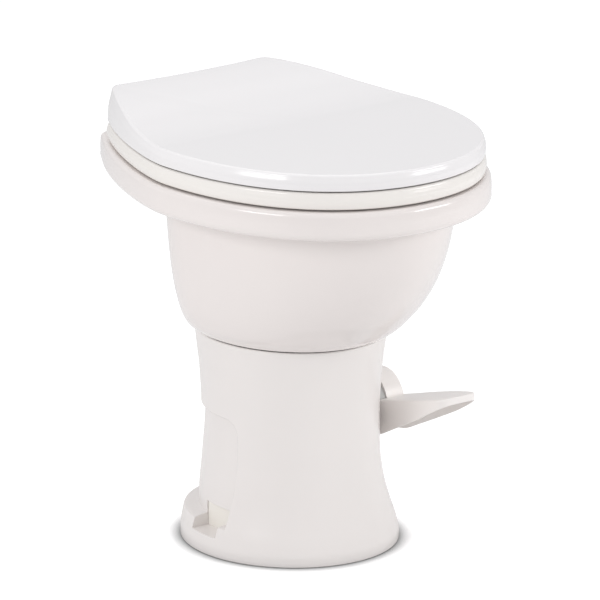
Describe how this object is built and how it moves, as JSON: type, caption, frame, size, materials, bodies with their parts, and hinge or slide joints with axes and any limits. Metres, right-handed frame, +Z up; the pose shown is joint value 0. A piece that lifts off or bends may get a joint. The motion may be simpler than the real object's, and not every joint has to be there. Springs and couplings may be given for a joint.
{
  "type": "rv toilet",
  "caption": "Low camper toilet: china bowl on a moulded pedestal, foot-pedal ball flush, hinged seat ring and lid.",
  "frame": {"origin": "on the floor, on the centre line of the waste outlet, midway between the two floor-bolt slots", "axes": "+Z up, the user's side (front of the bowl) faces -Y, the foot pedal is on the +X side"},
  "size_m": [0.3774, 0.4673, 0.4959],
  "materials": {
    "lid_plastic": "gloss",
    "seat_plastic": "gloss",
    "china": "gloss",
    "base_plastic": "satin gloss",
    "pedal_plastic": "satin",
    "inner_plastic": "satin",
    "grey_plastic": "matte",
    "rubber": "matte",
    "pale_rubber": "matte",
    "steel": "satin"
  },
  "bodies": {
    "base": {"pedestal_base": "base_plastic", "pocket_covers": "base_plastic", "flush_chamber": "inner_plastic", "chamber_screws": "steel", "floor_seal": "rubber", "ball_seal": "rubber", "clamp_band": "steel", "clamp_screw": "steel", "clamp_nut": "steel", "bowl_gasket": "rubber", "bowl": "china", "shaft_bushings": "grey_plastic", "shaft_ring": "rubber", "spring_housing": "grey_plastic", "housing_screws": "steel", "return_spring": "steel", "valve_body": "grey_plastic", "valve_bonnet": "grey_plastic", "valve_screws": "steel", "valve_spring": "steel", "water_hose": "pale_rubber", "hose_clamps": "steel", "vacuum_breaker": "inner_plastic", "breaker_cap": "inner_plastic", "spout_grommet": "rubber", "hinge_posts": "seat_plastic", "hinge_pins": "steel", "pin_caps": "seat_plastic", "hinge_bolts": "steel", "hinge_washers": "steel", "hinge_nuts": "steel"},
    "flush": {"pedal": "pedal_plastic", "pedal_bolt": "steel", "pedal_cap": "pedal_plastic", "cam_ring": "grey_plastic", "drive_shaft": "steel", "idle_pin": "steel", "flush_ball": "inner_plastic"},
    "plunger": {"valve_plunger": "steel", "plunger_disc": "rubber"},
    "seat": {"seat_ring": "seat_plastic", "seat_bumpers": "pale_rubber"},
    "lid": {"lid": "lid_plastic", "lid_bumpers": "pale_rubber"}
  },
  "joints": [
    {"name": "seat_hinge", "type": "hinge", "parent": "base", "child": "seat", "pos_m": [0, 0.203, 0.475], "axis": [-1, 0, 0], "range_deg": [0, 95]},
    {"name": "lid_hinge", "type": "hinge", "parent": "seat", "child": "lid", "pos_m": [0, 0.203, 0.475], "axis": [-1, 0, 0], "range_deg": [0, 100]},
    {"name": "pedal_pivot", "type": "hinge", "parent": "base", "child": "flush", "pos_m": [0, 0, 0.136], "axis": [1, 0, 0], "range_deg": [0, 57], "stiffness_Nm_per_rad": 1.2, "springref_deg": -28.65},
    {"name": "plunger_slide", "type": "slide", "parent": "base", "child": "plunger", "axis": [0, 1, 0], "range_m": [0, 0.003], "deforming": ["valve_spring"]}
  ],
  "couplings": [
    {"joint": "plunger_slide", "follows": "pedal_pivot", "m_per_rad": 0.003}
  ]
}
